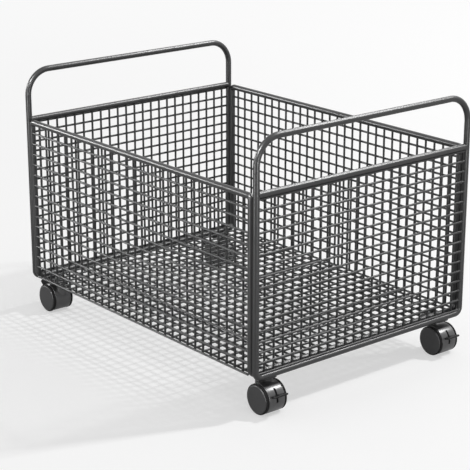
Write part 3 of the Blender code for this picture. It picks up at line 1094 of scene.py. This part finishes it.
    def lever(self) -> Skin:
        """The brake lever: a rounded blade, its arm in the slot and the eye on the axle.

        Each is a plate with rounded edges, laid out with the arm along x and then turned up about the axle.
        The arm runs from half the eye's radius to a third of the blade.

        Returns:
            One skin of the three.
        """
        angle = math.radians(self.brake.value)
        out = np.array([math.cos(angle), 0.0, math.sin(angle)])
        square = np.array([-math.sin(angle), 0.0, math.cos(angle)])
        blade_low = (self.blade_start, -self.blade_half)
        blade_high = (self.blade_start + self.blade_reach, self.blade_half)
        blade = rounded_rectangle(blade_low, blade_high, self.blade_corner)
        arm_low = (self.eye_radius / 2, -self.lever_height / 2)
        arm_high = (self.blade_start + self.blade_reach / 3, self.lever_height / 2)
        arm = rounded_rectangle(arm_low, arm_high, self.lever_corner)
        turn = np.linspace(0.0, 2 * np.pi, self.eye_points, endpoint=False)
        eye = self.eye_radius * np.stack([np.cos(turn), np.sin(turn)], axis=1)
        skin = Skin()
        for outline, thickness, edge, second, third in (
            (blade, self.blade_thickness, self.blade_edge, ACROSS, square),
            (arm, self.lever_thickness, self.lever_edge, square, -ACROSS),
            (eye, self.lever_thickness, self.lever_edge, square, -ACROSS),
        ):
            rows = slab(outline, thickness, edge)
            grid = self.hub + rows[..., :1] * out + rows[..., 1:2] * second + rows[..., 2:] * third
            skin.add(self.placed(grid), wrap_columns=True, cap_rows=True)
        return skin

    def level_slab(self, outline: Array, thickness: float, edge: float, bottom: float) -> Skin:
        """A level plate with rounded edges.

        Args:
            outline: (N, 2) points in the castor's own frame.
            thickness: its thickness.
            edge: the radius of its edges.
            bottom: the height of its lower face.

        Returns:
            The plate's skin.
        """
        skin = Skin()
        grid = slab(outline, thickness, edge) + (bottom + thickness / 2) * UP
        skin.add(self.placed(grid), wrap_columns=True, cap_rows=True)
        return skin

    def plate(self) -> Skin:
        """The mounting plate under the rail, with rounded corners and edges."""
        bottom = self.heights.plate_bottom
        outline = rounded_rectangle(self.plate_low, self.plate_high, self.plate_corner)
        return self.level_slab(outline, self.heights.plate_top - bottom, self.plate_edge, bottom)

    def nut(self) -> Skin:
        """The hexagon nut on the plate, with its edges broken."""
        turn = np.linspace(0.0, 2 * np.pi, self.nut_sides, endpoint=False)
        corner = self.nut_flats / 2 / math.cos(math.pi / self.nut_sides)
        hexagon = corner * points(np.cos(turn), np.sin(turn), 0.0)
        outline = filleted(hexagon, self.nut_edge, self.nut_corner_steps, closed=True)[:, :2]
        bottom = self.heights.plate_top + self.seat_gap
        return self.level_slab(outline, self.nut_height, self.nut_edge, bottom)

    def build(self, shop: Workshop) -> None:
        """Make the castor's pieces.

        Args:
            shop: where they are dressed.
        """
        corner = f"{self.end.word}_{self.side.word}"
        castor = f"{corner}_castor"
        shop.place(self.plate(), f"{castor}_flange", COATED_STEEL, "frame", f"{castor}_plate")
        shop.place(self.nut(), f"{castor}_lock_nut", ZINC_STEEL, "frame", f"{castor}_nut")
        # The hood's lighter base colour is painted reflection of the floor.
        shop.place(self.hood(), f"{castor}_cover", HOOD_PLASTIC_PAINTED_REFLECTION, castor, f"{castor}_hood")
        for side in Side:
            wheel = f"{corner}_{side.word}_wheel"
            outward = float(side.value * self.end.value)
            # The treads' near-black colour is partly their own black and partly painted shade of the gap
            # beside the caps.
            shop.place(self.wheel(outward), f"{wheel}_tread", TREAD_BLACK_AND_PAINTED_SHADE, f"{wheel}_set", wheel)
            shop.place(self.cap(outward), f"{wheel}_disc", CASTOR_PLASTIC, f"{wheel}_set", f"{wheel}_cap")
        lever = f"{corner}_brake_lever"
        # The blade gets the darkened lever finish, which is painted shade for the lever's shadow on the
        # hood.
        shop.place(self.lever(), f"{lever}_blade", LEVER_PLASTIC_PAINTED_SHADE, f"{corner}_brake", lever)
        shop.dress_node(f"{castor}_stem", ZINC_STEEL)
        shop.dress_node(f"{castor}_axle", ZINC_STEEL)


@dataclass(frozen=True)
class Lamp:
    """A soft rectangular light that faces the trolley, or a card that only shows in reflections."""

    name: str
    direction: tuple[float, float, float]
    distance: float
    shape: tuple[float, float]
    power: float
    is_card: bool = True

    def hang(self) -> None:
        """Put the light in its place, hidden from the camera."""
        light = bpy.data.lights.new(self.name, "AREA")
        light.shape = "RECTANGLE"
        light.size, light.size_y = self.shape
        light.energy = self.power
        lamp = bpy.data.objects.new(self.name, light)
        lamp.visible_camera = False
        lamp.visible_diffuse = not self.is_card
        way = Vector(self.direction).normalized()
        lamp.location = way * self.distance + Vector((0.0, 0.0, AIM_HEIGHT))
        lamp.rotation_euler = (-way).to_track_quat("-Z", "Y").to_euler()
        bpy.context.scene.collection.objects.link(lamp)


LAMPS = (
    Lamp("key_light", (0.33, 0.60, 0.73), 4.5, (0.30, 0.30), 108.0, is_card=False),
    Lamp("side_card", (-0.79, -0.55, 0.27), 3.2, (1.2, 0.25), 60.0),
    Lamp("low_card", (0.05, -1.0, 0.0), 1.8, (0.6, 0.35), 11.0),
    Lamp("top_card", (-0.10, 0.62, 0.79), 3.0, (0.9, 0.4), 40.0),
    Lamp("front_card", (0.98, -0.18, 0.0), 1.8, (0.4, 0.35), 9.0),
    Lamp("rim_card", (0.21, -0.71, 0.65), 2.5, (0.6, 0.6), 90.0),
)


@dataclass
class Studio:
    """The pale floor, the soft light and the camera."""

    floor_size: float = 24.0
    floor_bounce: float = 0.45
    floor_seen: float = 0.46
    floor_mirrored: float = 0.55
    floor_roughness: float = 0.8
    floor_glow_near: float = 0.52
    floor_glow_far: float = 0.63
    glow_start: float = 0.7
    glow_end: float = 4.0
    mottle_scale: float = 3.0
    mottle_octaves: float = 3.0
    mottle_depth: float = 0.015
    sky_low: float = 0.12
    sky_high: float = 0.75
    backdrop_seen: float = 0.95
    camera_place: tuple[float, float, float] = (1.9063, -1.5861, 0.9650)
    camera_yaw: float = math.radians(140.447)
    camera_pitch: float = math.radians(-17.821)
    lens: float = 120.14
    sensor_width: float = 36.0

    @staticmethod
    def seen(graph: NodeGraph, mirrored: float) -> Socket:
        """A mask of the rays that show the ground or the room itself.

        Args:
            graph: the node tree that uses it.
            mirrored: the mask's value for reflected rays.

        Returns:
            1 for the camera's and refracted rays, and 0 for the light that falls on matt surfaces.
        """
        return (
            graph.node("ShaderNodeLightPath", output="Is Camera Ray")
            | graph.node("ShaderNodeLightPath", output="Is Transmission Ray")
            | mirrored * graph.node("ShaderNodeLightPath", output="Is Glossy Ray")
        )

    @staticmethod
    def grey(value: float) -> Colour:
        """A neutral colour."""
        return (value, value, value)

    def floor_material(self) -> bpy.types.Material:
        """The ground: pale where it is looked at, and paler with distance, with a darker bounce.

        Returns:
            A matt material with a faint mottle and a glow that grows away from the trolley.
        """
        material, graph = blank_material("pale_floor")
        seen = self.seen(graph, self.floor_mirrored)
        mottle = graph.noise(self.mottle_scale, self.mottle_octaves)
        shown = seen * (1.0 - self.mottle_depth + self.mottle_depth * mottle)
        place = graph.node("ShaderNodeTexCoord", output="Object")
        away = graph.node("ShaderNodeVectorMath", {"operation": "LENGTH"}, {0: place}, output="Value")
        far = graph.node(
            "ShaderNodeMapRange",
            {"interpolation_type": "SMOOTHSTEP"},
            {"Value": away, "From Min": self.glow_start, "From Max": self.glow_end},
        )
        glow = graph.blend(far, self.grey(self.floor_glow_near), self.grey(self.floor_glow_far))
        graph.surface(
            {
                "Base Color": graph.blend(shown, self.grey(self.floor_bounce), self.grey(self.floor_seen)),
                "Roughness": self.floor_roughness,
                "Specular IOR Level": 0.0,
                "Emission Color": graph.blend(seen, self.grey(0.0), glow),
                "Emission Strength": 1.0,
            }
        )
        return material

    def floor(self) -> None:
        """Lay the floor."""
        reach = self.floor_size / 2
        corners = np.array([[-reach, -reach, 0], [reach, -reach, 0], [reach, reach, 0], [-reach, reach, 0]])
        mesh = bpy.data.meshes.new("studio_floor")
        mesh.from_pydata(corners, [], [(0, 1, 2, 3)])
        mesh.materials.append(self.floor_material())
        floor = bpy.data.objects.new("studio_floor", mesh)
        bpy.context.scene.collection.objects.link(floor)

    def world(self) -> None:
        """Light softly from above, and show the camera and reflections a white room."""
        world = bpy.data.worlds.new("studio_world")
        world.use_nodes = True
        bpy.context.scene.world = world
        graph = NodeGraph(world.node_tree)
        direction = graph.node("ShaderNodeTexCoord", output="Generated")
        height = graph.node("ShaderNodeSeparateXYZ", {}, {"Vector": direction}, output="Z")
        levels = {"Value": height, "To Min": self.sky_low, "To Max": self.sky_high}
        sky = graph.node("ShaderNodeMapRange", {}, levels)
        strength = sky + (self.backdrop_seen - sky) * self.seen(graph, 1.0)
        white = (*self.grey(1.0), 1.0)
        background = graph.node("ShaderNodeBackground", {}, {"Color": white, "Strength": strength})
        graph.node("ShaderNodeOutputWorld", {}, {"Surface": background})

    def camera(self) -> None:
        """Set up the camera, which looks down on the corner between the front end and the right side."""
        data = bpy.data.cameras.new("studio_camera")
        data.sensor_width = self.sensor_width
        data.lens = self.lens
        camera = bpy.data.objects.new("studio_camera", data)
        camera.location = self.camera_place
        level = math.cos(self.camera_pitch)
        x, y = level * math.cos(self.camera_yaw), level * math.sin(self.camera_yaw)
        look = Vector((x, y, math.sin(self.camera_pitch)))
        camera.rotation_euler = look.to_track_quat("-Z", "Y").to_euler()
        bpy.context.scene.collection.objects.link(camera)
        bpy.context.scene.camera = camera

    def build(self) -> None:
        """Set the whole stage."""
        self.camera()
        self.floor()
        self.world()
        for lamp in LAMPS:
            lamp.hang()
        bpy.context.scene.view_settings.view_transform = "Standard"


def main() -> None:
    """Build the trolley's looks and its stage."""
    logging.basicConfig(level=logging.INFO, format="%(name)s %(message)s")
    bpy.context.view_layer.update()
    shop = Workshop()
    heights = Heights()
    tubes = TubeFrame(heights)
    tubes.build(shop)
    WireMesh(tubes).build(shop)
    for end in End:
        for side in Side:
            raised = end is End.REAR and side is Side.RIGHT
            Castor(heights, end, side, Brake.RAISED if raised else Brake.PRESSED).build(shop)
    Studio().build()


if __name__ == "__main__":
    main()
